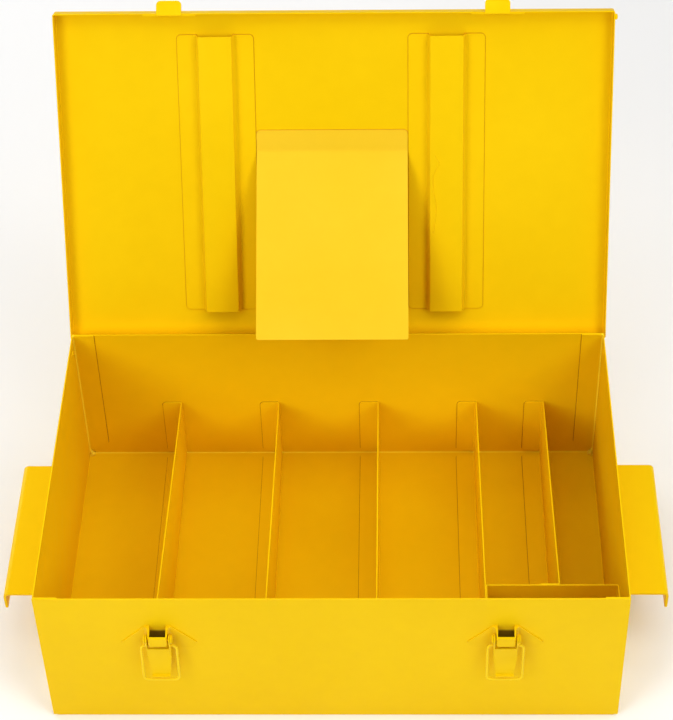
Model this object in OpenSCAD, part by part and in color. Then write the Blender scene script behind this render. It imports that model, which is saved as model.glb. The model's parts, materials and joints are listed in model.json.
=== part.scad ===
// Folded sheet-steel tool case: divided tub, pan lid on a long hinge, two draw latches, two bent handles.
// Millimetres. X is the width, Y the depth with the latches at minus Y, Z is up from the underside.

/* [Body] */
// outside width of the tub
body_w = 560; // [520:1:620]
// outside depth of the tub, front to rear
body_d = 347; // [320:1:380]
// height of the tub, underside to rim
body_h = 187; // [170:1:220]
// thickness of the case sheet
sheet_t = 1.2; // [0.9:0.1:1.5]
// outside radius of the folds
bend_r = 2.2; // [1.8:0.1:3]
// width of the flanges that close the four upright corners
corner_flange_w = 23.3; // [16:0.1:30]
// height where a corner flange starts at its fold
corner_flange_low = 6.2; // [5:0.1:10]
// height where a corner flange starts at its free edge
corner_flange_high = 19; // [12:0.5:26]
// length left open at each end of the floor folds
corner_relief = 4.2; // [3.6:0.1:6]
// diameter of the small hole in each end wall
wall_hole_d = 4.5; // [3:0.1:6]
// distance of that hole from the rear face
wall_hole_back = 14; // [8:0.5:30]
// distance of that hole below the rim
wall_hole_drop = 13.5; // [8:0.5:30]

/* [Dividers] */
// height of the divider tops at the rear wall, above the underside
divider_rear = 83.5; // [60:0.5:110]
// height of the divider tops at the front wall, above the underside
divider_front = 127; // [80:0.5:150]
// width of the divider tabs and floor flanges
divider_tab = 21; // [12:0.5:24]
// corner radius of the tabs and floor flanges
divider_corner_r = 4; // [2:0.5:6]
// distance of the first divider from the left end
divider_in1 = 108.5; // [90:0.1:120]
// distance of the second divider from the left end
divider_in2 = 214.5; // [200:0.1:230]
// distance of the third divider from the left end
divider_in3 = 322.2; // [310:0.1:335]
// distance of the fourth divider from the right end
divider_in4 = 131.7; // [115:0.1:145]
// distance of the fifth, short divider from the right end
divider_in5 = 59.2; // [45:0.1:80]
// distance of the cross divider behind the front face
cross_back = 69.9; // [50:0.1:130]

/* [Handles] */
// length of each handle
handle_l = 169; // [120:1:200]
// reach of each handle from the end wall
handle_out = 52.7; // [42:0.1:60]
// thickness of the handle plate
handle_t = 2.8; // [2:0.1:3.2]
// outside radius of the handle folds
handle_bend_r = 6; // [3.5:0.1:6]
// height of the handle tops above the underside
handle_top = 80; // [60:0.5:110]
// depth of the turned-down lips
handle_lip = 23.5; // [15:0.5:26]
// corner radius of the lips
handle_corner_r = 2; // [1:0.5:8]

/* [Lid] */
// depth of the lid flanges over the panel's outer face
lid_flange = 14.7; // [12:0.1:20]
// clearance between the lid's side flanges and the end walls
lid_side_gap = 1.5; // [1:0.1:2.5]
// clearance between the lid's front flange and the front wall
lid_front_gap = 1.8; // [1.7:0.1:2.5]
// clearance between the rim and the closed lid
rim_gap = 0.3; // [0.3:0.1:1]
// how far the lid stands open
lid_open = 114.3; // [90:0.1:120]

/* [Hinge] */
// outside diameter of the hinge knuckles
knuckle_d = 5.2; // [4.8:0.1:6]
// diameter of the hinge pin
hinge_pin_d = 2.64; // [2.2:0.02:2.8]
// radial clearance of the pin in the lid's knuckles
hinge_fit = 0.08; // [0.02:0.01:0.1]
// height of the leaf on the rear wall
hinge_leaf_h = 20; // [12:0.5:28]
// distance of the hinge ends from the case ends
hinge_end_gap = 3; // [2:0.5:12]
// half length of the middle knuckle
knuckle_half = 116; // [80:1:140]
// gap between two knuckles
knuckle_gap = 0.8; // [0.4:0.1:2]
// clearance round the moving knuckles
hinge_clear = 0.3; // [0.3:0.05:0.6]

/* [Lid Channels] */
// place of the left channel across the lid
channel_x1 = -120.5; // [-135:0.1:-105]
// place of the right channel across the lid
channel_x2 = 114.3; // [105:0.1:130]
// width over the channel flanges
channel_w = 78; // [60:0.5:90]
// width of the raised middle
channel_hat_w = 35; // [25:0.5:45]
// depth of the raised middle
channel_hat_d = 11; // [7:0.5:13]
// slope of the raised sides across each side
channel_slope = 2; // [1:0.1:4]
// distance of the channels from the hinge line
channel_rear = 31.6; // [25:0.1:45]
// distance of the channels from the front wall
channel_front = 21.9; // [18:0.1:40]
// corner radius of the channel flanges
channel_corner_r = 4.5; // [2:0.5:7]

/* [Holder] */
// place of the holder's middle across the lid
holder_x = -3.2; // [-12:0.1:12]
// width of the holder
holder_w = 155.6; // [130:0.1:156]
// distance of the fold from the hinge line
holder_fold = 205; // [180:1:230]
// width of the welded flange
holder_flange = 22.4; // [16:0.1:28]
// distance of the free edge from the hinge line
holder_edge = 29; // [26:0.5:45]
// depth of the free edge under the lid panel
holder_depth = 85; // [60:0.5:95]
// corner radius of the welded flange
holder_corner_r = 4.5; // [2:0.5:7]

/* [Catches] */
// distance of the catches and latches from the ends of the case
latch_in = 115; // [90:0.5:140]
// width of the catch plate inside the front flange
catch_w = 54.5; // [40:0.5:70]
// thickness of the catch plate
catch_t = 1.2; // [1:0.1:1.2]
// width of the catch tab
catch_tab_w = 25.4; // [20:0.1:27]
// length of the catch tab
catch_tab_l = 14.3; // [11:0.1:14.5]
// upward slope of the catch tab when the lid is shut
catch_slope = 25; // [20:1:32]
// corner radius of the catch tab
catch_corner_r = 4.5; // [2:0.5:6]

/* [Latches] */
// distance of the lever pivot below the rim
lever_drop = 50.3; // [46:0.1:56]
// distance of the lever pivot from the front wall
lever_out = 8.2; // [7.5:0.1:9.5]
// thickness of the latch sheet
latch_t = 1.5; // [1.2:0.1:1.6]
// half width of the bracket over its ears
bracket_half = 9.3; // [8:0.1:9.6]
// how far the bracket stands out
bracket_out = 12; // [11:0.1:12.6]
// radius where the ears leave the wall plate
ear_foot_r = 4.5; // [2:0.1:4.5]
// half width of the bracket's wall plate at its wings
wing_half = 33; // [26:0.5:40]
// distance of the wings below the lever pivot
wing_drop = 15.6; // [12:0.2:18]
// half width of the bracket's wall plate at its lower corners
foot_half = 30; // [22:0.5:38]
// distance of the lower corners below the lever pivot
foot_drop = 20.6; // [18:0.2:24]
// half width of the bracket's wall plate at its top
shoulder_half = 11.5; // [10:0.5:16]
// height of the plate's top corners above the lever pivot
shoulder_rise = 8.6; // [8:0.2:12]
// half width of the lever over its ears
lever_half = 11.8; // [11.5:0.1:12.4]
// half width of the lever's lower end
lever_tip_half = 8.8; // [7:0.1:10]
// distance from the lever pivot to the lever's lower fold
lever_len = 51.4; // [46:0.1:54]
// how far the lever's face stands out from its pivot
lever_face = 2.4; // [2:0.1:2.6]
// diameter of the bail wire
wire_d = 2.6; // [2.2:0.1:3]
// distance of the bail pivot below the lever pivot
bail_drop = 10; // [9:0.1:11]
// how far the bail stands off from hanging straight down
bail_rest = 4; // [0:0.5:10]
// half distance between the bail's legs
bail_half = 17; // [16.6:0.1:18]
// radius of the wire's lower corners on its middle line
bail_corner_r = 5; // [4:0.1:5.2]
// diameter of the latch pin
pin_d = 3; // [2.6:0.1:3.4]
// diameter of the pin heads
pin_head_d = 8.8; // [7:0.1:9.4]
// thickness of the pin heads
pin_head_t = 1.9; // [1.4:0.1:2]
// radial clearance of the latch pivots
pivot_fit = 0.06; // [0.02:0.01:0.1]
// clearance beside the latch's moving pieces
side_clear = 0.3; // [0.3:0.05:0.6]
// clearance of the bail in the catch
seat_clear = 0.3; // [0.3:0.05:0.8]

/* [Hidden] */
$fn = 64;
press = 0.01;
floor_top = sheet_t;
half_w = body_w / 2;
half_d = body_d / 2;
latch_x = half_w - latch_in;
in_w = half_w - sheet_t;
in_d = half_d - sheet_t;
lap = 0.2;
divider_x1 = divider_in1 - half_w;
divider_x2 = divider_in2 - half_w;
divider_x3 = divider_in3 - half_w;
divider_x4 = half_w - divider_in4;
divider_x5 = half_w - divider_in5;
cross_y = cross_back - half_d;
cross_top = divider_rear + (divider_front - divider_rear) * (in_d - cross_y) / (2 * in_d);
knuckle_r = knuckle_d / 2;
hinge_y = half_d + hinge_clear + knuckle_r;
lid_top = body_h + rim_gap + sheet_t;
lid_in = body_h + rim_gap;
lid_low = lid_top - lid_flange;
hinge_z = lid_low;
lid_x = half_w + lid_side_gap + sheet_t;
lid_front = -(half_d + lid_front_gap + sheet_t);
lid_leaf_y = half_d + hinge_clear;
lid_rear = lid_leaf_y + 2 * sheet_t;
rear_flange_low = hinge_z + knuckle_r + hinge_clear + 0.1;
hinge_half = half_w - hinge_end_gap;
channel_y0 = -half_d + channel_front;
channel_y1 = hinge_y - channel_rear;
holder_y0 = hinge_y - holder_fold;
holder_run = holder_fold - holder_edge;
holder_len = sqrt(holder_run * holder_run + holder_depth * holder_depth);
holder_slope = atan2(holder_depth, holder_run);
pivot_z = body_h - lever_drop;
bail_z = pivot_z - bail_drop;
bail_out = lever_out - 0.2;
catch_root_p = lid_front_gap;
catch_root_z = lid_low - sheet_t * tan(catch_slope) - 0.04;
wire_r = wire_d / 2;
seat_p = lid_front_gap + sheet_t + wire_r + seat_clear;
seat_z = catch_root_z + (seat_p - catch_root_p) * tan(catch_slope) + (wire_r + seat_clear) / cos(catch_slope);
bail_len = sqrt(pow(seat_p - bail_out, 2) + pow(seat_z - bail_z, 2));
lever_in = lever_half - latch_t;
face_out = lever_out + lever_face;
face_top = bail_z - wire_r - pivot_fit - 1.6;
bail_in = (lever_in + bracket_half) / 2;
bail_top_r = bail_half - lever_half - side_clear;
head_in = lever_half + side_clear;
paint = [0.97, 0.77, 0.05];
paint_dark = [0.90, 0.68, 0.04];
paint_light = [0.98, 0.82, 0.16];

// extrude a drawing of Y and Z along X
module along_x(l) {
  rotate([90, 0, 90])
    linear_extrude(l, center = true)
      children();
}

// extrude a drawing of X and Z along Y
module along_y(l) {
  rotate([90, 0, 0])
    linear_extrude(l, center = true)
      children();
}

// rectangle between two corners
module rect(x0, y0, x1, y1) {
  polygon([[x0, y0], [x1, y0], [x1, y1], [x0, y1]]);
}

// quarter of a sheet fold round the origin, in the quadrant given by the two signs
module fold_arc(r, t, sx, sy) {
  intersection() {
    difference() {
      circle(r);
      circle(r - t);
    }
    rect(0, 0, sx * 2 * r, sy * 2 * r);
  }
}

// the same fold with a short straight tail on each side, which lies in the flat sheet that it joins
module fold(r, t, sx, sy) {
  fold_arc(r, t, sx, sy);
  rect(sx * (r - t), -sy * lap, sx * r, 0);
  rect(-sx * lap, sy * (r - t), 0, sy * r);
}

// what a round corner leaves of a square one, corner at x y, body towards minus sx and minus sy
module corner_cut(x, y, sx, sy, r) {
  difference() {
    rect(x - sx * r, y - sy * r, x + sx * 0.5, y + sy * 0.5);
    circle_at(x - sx * r, y - sy * r, r);
  }
}

module circle_at(x, y, r) {
  translate([x, y])
    circle(r);
}

// box between two corners
module block(a, b) {
  translate(a)
    cube([b[0] - a[0], b[1] - a[1], b[2] - a[2]]);
}

// everything on the lid is drawn shut and turned open round the hinge
module opened() {
  translate([0, hinge_y, hinge_z])
    rotate([-lid_open, 0, 0])
      translate([0, -hinge_y, -hinge_z])
        children();
}

// frame of one latch: X from the latch's middle, Y outward from the front wall
module at_latch(s) {
  translate([s * latch_x, -half_d, 0])
    mirror([0, 1, 0])
      children();
}

// upright flange that closes a corner from inside, drawn in X and Z
module corner_flange() {
  x0 = half_w - bend_r;
  x1 = half_w - corner_flange_w;
  polygon([[x0, corner_flange_low], [x0 - lap, corner_flange_low], [x1 + 2, corner_flange_high - 1.1], [x1 + 0.6, corner_flange_high - 0.2],
    [x1, corner_flange_high + 1.4], [x1, body_h], [x0, body_h]]);
}

module tub_end(s) {
  translate([s * (half_w - bend_r), 0, bend_r])
    along_y(body_d - 2 * corner_relief)
      fold(bend_r, sheet_t, s, -1);
  translate([s * (half_w - sheet_t / 2), 0, (body_h + bend_r) / 2])
    cube([sheet_t, 2 * (in_d - bend_r), body_h - bend_r], center = true);
  for (q = [-1, 1]) {
    translate([s * (half_w - bend_r), q * (in_d - bend_r), corner_flange_low])
      linear_extrude(body_h - corner_flange_low)
        fold(bend_r, sheet_t, s, q);
    translate([0, q * (in_d - sheet_t / 2), 0])
      scale([s, 1, 1])
        along_y(sheet_t)
          corner_flange();
  }
}

module body_tub() {
  color(paint)
    difference() {
      union() {
        block([-half_w + bend_r, -half_d + bend_r, 0], [half_w - bend_r, half_d - bend_r, sheet_t]);
        for (q = [-1, 1]) {
          translate([0, q * (half_d - bend_r), bend_r])
            along_x(body_w - 2 * corner_relief)
              fold(bend_r, sheet_t, q, -1);
          translate([0, q * (half_d - sheet_t / 2), (body_h + bend_r) / 2])
            cube([body_w, sheet_t, body_h - bend_r], center = true);
        }
        tub_end(-1);
        tub_end(1);
      }
      translate([0, half_d - wall_hole_back, body_h - wall_hole_drop])
        rotate([0, 90, 0])
          cylinder(h = body_w + 2, d = wall_hole_d, center = true);
    }
}

// one folded divider: web at x between two walls at y0 and y1, h0 and h1 high there, tabs and flange turned to minus X
module fold_divider(x, y0, y1, h0, h1) {
  xf = x + sheet_t / 2;
  xb = xf - bend_r;
  xt = xf - divider_tab;
  z0 = floor_top + bend_r;
  zt = floor_top + corner_relief;
  ya = y0 + corner_relief;
  yb = y1 - corner_relief;
  r = divider_corner_r;
  translate([x, 0, 0])
    along_x(sheet_t)
      polygon([[y0 + bend_r, z0], [y1 - bend_r, z0], [y1 - bend_r, h1], [y0 + bend_r, h0]]);
  translate([xb, (ya + yb) / 2, z0])
    along_y(yb - ya)
      fold(bend_r, sheet_t, 1, -1);
  translate([0, 0, floor_top])
    linear_extrude(sheet_t)
      difference() {
        rect(xt, ya, xb, yb);
        corner_cut(xt, ya, -1, -1, r);
        corner_cut(xt, yb, -1, 1, r);
      }
  for (q = [0, 1]) {
    yc = q == 0 ? y0 + bend_r : y1 - bend_r;
    yt = q == 0 ? y0 + sheet_t / 2 : y1 - sheet_t / 2;
    h = q == 0 ? h0 : h1;
    translate([xb, yc, zt])
      linear_extrude(h - zt)
        fold(bend_r, sheet_t, 1, q == 0 ? -1 : 1);
    translate([0, yt, 0])
      along_y(sheet_t)
        difference() {
          rect(xt, zt, xb, h);
          corner_cut(xt, zt, -1, -1, r);
          corner_cut(xt, h, -1, 1, r);
        }
  }
}

module divider_1() {
  color(paint_dark)
    fold_divider(divider_x1, -in_d, in_d, divider_front, divider_rear);
}

module divider_2() {
  color(paint_dark)
    fold_divider(divider_x2, -in_d, in_d, divider_front, divider_rear);
}

module divider_3() {
  color(paint_dark)
    fold_divider(divider_x3, -in_d, in_d, divider_front, divider_rear);
}

module divider_4() {
  color(paint_dark)
    fold_divider(divider_x4, -in_d, in_d, divider_front, divider_rear);
}

module divider_5() {
  color(paint_dark)
    fold_divider(divider_x5, cross_y + sheet_t / 2, in_d, cross_top, divider_rear);
}

module cross_divider() {
  color(paint_dark)
    rotate([0, 0, 90])
      fold_divider(cross_y, -in_w, -(divider_x4 + sheet_t / 2), cross_top, cross_top);
}

module handle(s) {
  r = handle_bend_r;
  t = handle_t;
  z0 = handle_top - handle_lip;
  zb = handle_top - r;
  color(paint)
    scale([s, 1, 1])
      translate([half_w, 0, 0])
        difference() {
          union() {
            along_y(handle_l)
              rect(0, z0, t, zb);
            translate([r, 0, zb])
              along_y(handle_l)
                fold(r, t, -1, 1);
            along_y(handle_l)
              rect(r, handle_top - t, handle_out - r, handle_top);
            translate([handle_out - r, 0, zb])
              along_y(handle_l)
                fold(r, t, 1, 1);
            along_y(handle_l)
              rect(handle_out - t, z0, handle_out, zb);
          }
          for (q = [-1, 1])
            translate([handle_out / 2, 0, 0])
              along_x(handle_out + 2)
                corner_cut(q * handle_l / 2, z0, q, -1, handle_corner_r);
        }
}

module handle_left() {
  handle(-1);
}

module handle_right() {
  handle(1);
}

// side view of the bracket's ears, outward and up from the wall
module bracket_side() {
  polygon([[0, pivot_z - 9.2], [lever_out - 2.2, pivot_z - 9.2], [bracket_out - 1.6, pivot_z - 8.6],
    [bracket_out, pivot_z - 7.4], [bracket_out, pivot_z + 4.4], [bracket_out - 1.4, pivot_z + 6],
    [5.6, pivot_z + 8.4], [2.4, pivot_z + 9.8], [0, pivot_z + 10]]);
}

// wall plate of the bracket with its two pointed wings, drawn in X and Z
module bracket_plate() {
  hull() {
    for (s = [-1, 1]) {
      circle_at(s * shoulder_half, pivot_z + shoulder_rise, 1.8, $fn = 32);
      circle_at(s * wing_half, pivot_z - wing_drop, 3, $fn = 32);
      circle_at(s * foot_half, pivot_z - foot_drop, 2, $fn = 32);
    }
  }
}

module latch_base(s) {
  b = bracket_half;
  t = latch_t;
  r = 2;
  color(paint)
    at_latch(s)
      difference() {
        union() {
          translate([0, sheet_t / 2, 0])
            along_y(sheet_t)
              bracket_plate();
          intersection() {
            along_x(4 * b)
              bracket_side();
            translate([0, 0, pivot_z - 12])
              linear_extrude(24) {
                for (q = [-1, 1]) {
                  rect(q * (b - t), 0, q * b, bracket_out - r);
                  translate([q * (b - r), bracket_out - r])
                    fold(r, t, q, 1);
                  corner_cut(q * b, sheet_t, -q, -1, ear_foot_r);
                }
                rect(-b + r, bracket_out - t, b - r, bracket_out);
              }
          }
        }
        translate([0, sheet_t / 2, 0])
          along_y(sheet_t + 1)
            rect(-b + t, pivot_z - 7.5, b - t, pivot_z + 14);
        translate([0, lever_out, pivot_z])
          rotate([0, 90, 0])
            cylinder(h = 4 * b, d = pin_d - 2 * press, center = true);
        for (q = [-1, 1])
          translate([0, bracket_out, 0])
            along_y(3 * t)
              corner_cut(q * b, pivot_z - 7.8, q, -1, 4);
      }
}

module latch_base_left() {
  latch_base(-1);
}

module latch_base_right() {
  latch_base(1);
}

module latch_pin(s) {
  color(paint)
    at_latch(s)
      translate([0, lever_out, pivot_z])
        rotate([0, 90, 0]) {
          cylinder(h = 2 * head_in + 0.2, d = pin_d, center = true);
          for (q = [-1, 1])
            scale([1, 1, q])
              translate([0, 0, head_in])
                rotate_extrude()
                  polygon([[0, 0], [pin_head_d / 2, 0], [pin_head_d / 2, pin_head_t * 0.45],
                    [pin_head_d / 2 - 0.5, pin_head_t * 0.8], [pin_head_d / 2 - 1.4, pin_head_t], [0, pin_head_t]]);
        }
}

module latch_pin_left() {
  latch_pin(-1);
}

module latch_pin_right() {
  latch_pin(1);
}

// side view of a lever ear, outward and up
module lever_side() {
  er = 4.5;
  circle_at(lever_out, pivot_z, er);
  polygon([[lever_out - er, pivot_z], [bail_out - 3.5, bail_z + 0.6], [bail_out - 2.9, bail_z - 2.6],
    [face_out - latch_t, bail_z - 14], [face_out, bail_z - 14], [face_out, face_top], [lever_out + er - 0.6, pivot_z - 4],
    [lever_out + er, pivot_z]]);
}

module latch_lever(s) {
  t = latch_t;
  h = lever_half;
  zt = bail_z - 14;
  zc = pivot_z - lever_len;
  color(paint_light)
    at_latch(s)
      difference() {
        union() {
          translate([0, face_out - t / 2, 0])
            along_y(t)
              polygon([[-h, face_top], [-h, zt], [-lever_tip_half, zc], [lever_tip_half, zc], [h, zt], [h, face_top]]);
          for (q = [-1, 1])
            translate([q * (h - t / 2), 0, 0])
              along_x(t)
                lever_side();
          translate([0, face_out + 1.5, zc])
            along_x(2 * lever_tip_half)
              fold(1.5 + t, t, -1, -1);
          block([-lever_tip_half, face_out + 1.5, zc - 1.5 - t], [lever_tip_half, face_out + 2.6, zc - 1.5]);
        }
        for (q = [-1, 1])
          translate([0, 0, zt])
            linear_extrude(face_top - zt)
              corner_cut(q * h, face_out, q, 1, 1.4);
        translate([0, lever_out, pivot_z])
          rotate([0, 90, 0])
            cylinder(h = 4 * h, r = pin_d / 2 + pivot_fit, center = true);
        for (q = [-1, 1])
          translate([q * (h - t / 2), bail_out, bail_z])
            rotate([0, 90, 0])
              cylinder(h = t + 0.2, r = wire_r + pivot_fit, center = true);
      }
}

module latch_lever_left() {
  latch_lever(-1);
}

module latch_lever_right() {
  latch_lever(1);
}

// quarter of a bent wire in X and Z round the origin, from the X axis to the Z axis, towards sx and sz
module wire_bend(r, sx, sz) {
  scale([sx, 1, sz])
    rotate([90, 0, 0])
      rotate_extrude(angle = 90)
        circle_at(r, 0, wire_r);
}

module wire_x(x0, x1, z) {
  translate([x0, 0, z])
    rotate([0, 90, 0])
      cylinder(h = x1 - x0, r = wire_r);
}

module latch_bail(s) {
  r1 = bail_top_r;
  r2 = bail_corner_r;
  x1 = bail_half;
  color(paint_light)
    at_latch(s)
      translate([0, bail_out, bail_z])
        rotate([bail_rest, 0, 0]) {
          wire_x(-x1 + r2, x1 - r2, -bail_len);
          for (q = [-1, 1])
            scale([q, 1, 1]) {
              wire_x(bail_in, x1 - r1, 0);
              translate([x1 - r1, 0, -r1])
                wire_bend(r1, 1, 1);
              translate([x1, 0, -bail_len + r2])
                cylinder(h = bail_len - r1 - r2, r = wire_r);
              translate([x1 - r2, 0, -bail_len + r2])
                wire_bend(r2, 1, -1);
            }
        }
}

module latch_bail_left() {
  latch_bail(-1);
}

module latch_bail_right() {
  latch_bail(1);
}

// knuckle between two places along X
module knuckle(x0, x1, bore_r) {
  translate([x0, hinge_y, hinge_z])
    rotate([0, 90, 0])
      difference() {
        cylinder(h = x1 - x0, r = knuckle_r);
        translate([0, 0, -1])
          cylinder(h = x1 - x0 + 2, r = bore_r);
      }
}

module hinge_body_leaf() {
  k = knuckle_half - knuckle_gap / 2;
  step = hinge_z - knuckle_r - hinge_clear - 0.3;
  y1 = half_d + sheet_t;
  color(paint) {
    difference() {
      union() {
        block([-hinge_half, half_d, hinge_z - hinge_leaf_h], [hinge_half, y1, step]);
        block([-k, half_d, step - 1], [k, y1, hinge_z]);
        knuckle(-k, k, hinge_pin_d / 2 - press);
      }
      translate([-k - 1, hinge_y, hinge_z])
        rotate([0, 90, 0])
          cylinder(h = 2 * k + 2, r = hinge_pin_d / 2 - press);
    }
  }
}

module hinge_pin() {
  color(paint)
    translate([0, hinge_y, hinge_z])
      rotate([0, 90, 0])
        cylinder(h = 2 * hinge_half, d = hinge_pin_d, center = true);
}

module hinge_lid_leaf() {
  k = knuckle_half + knuckle_gap / 2;
  y0 = lid_leaf_y;
  y1 = lid_leaf_y + sheet_t;
  color(paint)
    opened() {
      block([-hinge_half, y0, rear_flange_low], [hinge_half, y1, lid_in - 1]);
      for (s = [-1, 1])
        difference() {
          union() {
            block([s > 0 ? k : -hinge_half, y0, hinge_z], [s > 0 ? hinge_half : -k, y1, rear_flange_low + 1]);
            knuckle(s > 0 ? k : -hinge_half, s > 0 ? hinge_half : -k, hinge_pin_d / 2 + hinge_fit);
          }
          translate([s > 0 ? k - 1 : -hinge_half - 1, hinge_y, hinge_z])
            rotate([0, 90, 0])
              cylinder(h = hinge_half - k + 2, r = hinge_pin_d / 2 + hinge_fit);
        }
    }
}

// corner of the pan: upright fold with a round top, drawn round its middle
module pan_corner(sx, sy, low) {
  scale([sx, sy, 1]) {
    translate([0, 0, low - lid_top + bend_r])
      linear_extrude(lid_top - bend_r - low)
        fold(bend_r, sheet_t, 1, 1);
    rotate_extrude(angle = 90) {
      fold_arc(bend_r, sheet_t, 1, 1);
      rect(bend_r - sheet_t, -lap, bend_r, 0);
    }
  }
}

module lid_pan() {
  r = bend_r;
  xm = lid_x - r;
  y0 = lid_front + r;
  y1 = lid_rear - r;
  zc = lid_top - r;
  color(paint)
    opened()
      difference() {
        union() {
          block([-xm, y0, lid_in], [xm, y1, lid_top]);
          block([-xm, lid_front, lid_low], [xm, lid_front + sheet_t, zc]);
          block([-xm, lid_rear - sheet_t, rear_flange_low], [xm, lid_rear, zc]);
          translate([0, y0, zc])
            along_x(2 * xm)
              fold(r, sheet_t, -1, 1);
          translate([0, y1, zc])
            along_x(2 * xm)
              fold(r, sheet_t, 1, 1);
          for (s = [-1, 1]) {
            block([s > 0 ? lid_x - sheet_t : -lid_x, y0, lid_low], [s > 0 ? lid_x : -lid_x + sheet_t, y1, zc]);
            translate([s * xm, (y0 + y1) / 2, zc])
              along_y(y1 - y0)
                fold(r, sheet_t, s, 1);
            translate([s * xm, y0, zc])
              pan_corner(s, -1, lid_low);
            translate([s * xm, y1, zc])
              pan_corner(s, 1, rear_flange_low);
          }
        }
        for (s = [-1, 1])
          translate([s * (lid_x - sheet_t / 2), 0, 0])
            along_x(sheet_t + 1)
              corner_cut(y1, lid_low, 1, -1, 2.4);
      }
}

// section of a lid channel, drawn in X and Z under the panel
module channel_section() {
  w = channel_w / 2;
  a = channel_hat_w / 2;
  b = a + channel_slope;
  z0 = lid_in;
  z1 = lid_in - channel_hat_d;
  t = sheet_t;
  polygon([[-w, z0], [-b + 1, z0], [-b + t, z0 - 1.2], [-a + t, z1 + t + 1], [-a + t + 1, z1 + t],
    [a - t - 1, z1 + t], [a - t, z1 + t + 1], [b - t, z0 - 1.2], [b - 1, z0], [w, z0], [w, z0 - t],
    [b + 1.2, z0 - t], [b + 0.2, z0 - t - 1], [a, z1 + 2], [a - 0.6, z1 + 0.6], [a - 2, z1], [-a + 2, z1],
    [-a + 0.6, z1 + 0.6], [-a, z1 + 2], [-b - 0.2, z0 - t - 1], [-b - 1.2, z0 - t], [-w, z0 - t]]);
}

module lid_channel(x) {
  w = channel_w / 2;
  color(paint)
    opened()
      translate([x, (channel_y0 + channel_y1) / 2, 0])
        difference() {
          along_y(channel_y1 - channel_y0)
            channel_section();
          for (s = [-1, 1])
            for (q = [-1, 1])
              translate([0, 0, lid_in - 2 * sheet_t])
                linear_extrude(3 * sheet_t)
                  corner_cut(s * w, q * (channel_y1 - channel_y0) / 2, s, q, channel_corner_r);
        }
}

module lid_channel_left() {
  lid_channel(channel_x1);
}

module lid_channel_right() {
  lid_channel(channel_x2);
}

module holder_plate() {
  c = cos(holder_slope);
  s = sin(holder_slope);
  l = holder_len;
  w = holder_w / 2;
  color(paint_light)
    opened()
      translate([holder_x, holder_y0, lid_in]) {
        translate([0, 0, -sheet_t])
          linear_extrude(sheet_t)
            difference() {
              rect(-w, -holder_flange, w, 0);
              corner_cut(-w, -holder_flange, -1, -1, holder_corner_r);
              corner_cut(w, -holder_flange, 1, -1, holder_corner_r);
            }
        rotate([-holder_slope, 0, 0])
          translate([0, 0, -sheet_t])
            linear_extrude(sheet_t)
              difference() {
                rect(-w, 0, w, l);
                corner_cut(-w, l, -1, 1, 2);
                corner_cut(w, l, 1, 1, 2);
              }
        along_x(holder_w)
          polygon([[0, 0], [-sheet_t * s, -sheet_t * c], [-sheet_t * tan(holder_slope / 2), -sheet_t], [0, -sheet_t]]);
      }
}

// section of a catch: plate behind the front flange, fold, tab outward, drawn outward and up
module catch_plate_section() {
  rect(catch_root_p - catch_t, catch_root_z, catch_root_p, lid_in - 1.2);
}

module catch_tab_section() {
  c = cos(catch_slope);
  s = sin(catch_slope);
  l = catch_tab_l;
  t = catch_t;
  turn = (90 + catch_slope) / 6;
  outer = [for (i = [0:6]) [t * cos(catch_slope - 90 - i * turn), t * sin(catch_slope - 90 - i * turn)]];
  translate([catch_root_p, catch_root_z])
    polygon(concat([[-t, 2 * t], [0, 2 * t], [0, 0], [l * c, l * s], [l * c + t * s, l * s - t * c]], outer));
}

module catch(s) {
  w = catch_w / 2;
  tw = catch_tab_w / 2;
  c = cos(catch_slope);
  color(paint_light)
    opened()
      at_latch(s)
        difference() {
          union() {
            along_x(catch_w)
              catch_plate_section();
            along_x(catch_tab_w)
              catch_tab_section();
          }
          for (q = [-1, 1]) {
            translate([0, catch_root_p, catch_root_z])
              rotate([catch_slope, 0, 0])
                translate([0, 0, -2 * catch_t])
                  linear_extrude(3 * catch_t)
                    corner_cut(q * tw, catch_tab_l, q, 1, catch_corner_r);
            translate([0, catch_root_p - catch_t / 2, 0])
              along_y(catch_t + 1)
                corner_cut(q * w, catch_root_z, q, -1, 2);
          }
        }
}

module catch_left() {
  catch(-1);
}

module catch_right() {
  catch(1);
}

body_tub();
divider_1();
divider_2();
divider_3();
divider_4();
divider_5();
cross_divider();
handle_left();
handle_right();
latch_base_left();
latch_base_right();
latch_pin_left();
latch_pin_right();
latch_lever_left();
latch_lever_right();
latch_bail_left();
latch_bail_right();
hinge_body_leaf();
hinge_pin();
hinge_lid_leaf();
lid_pan();
lid_channel_left();
lid_channel_right();
holder_plate();
catch_left();
catch_right();
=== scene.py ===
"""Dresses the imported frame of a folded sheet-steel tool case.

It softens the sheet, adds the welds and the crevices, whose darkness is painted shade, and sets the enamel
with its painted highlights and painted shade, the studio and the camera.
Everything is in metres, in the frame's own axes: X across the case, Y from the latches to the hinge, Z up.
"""

import json
import math

import bpy
from bpy.props import (
    FloatProperty,
    FloatVectorProperty,
    IntProperty,
    PointerProperty,
)
from mathutils import Matrix, Vector
from mathutils.bvhtree import BVHTree

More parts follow.
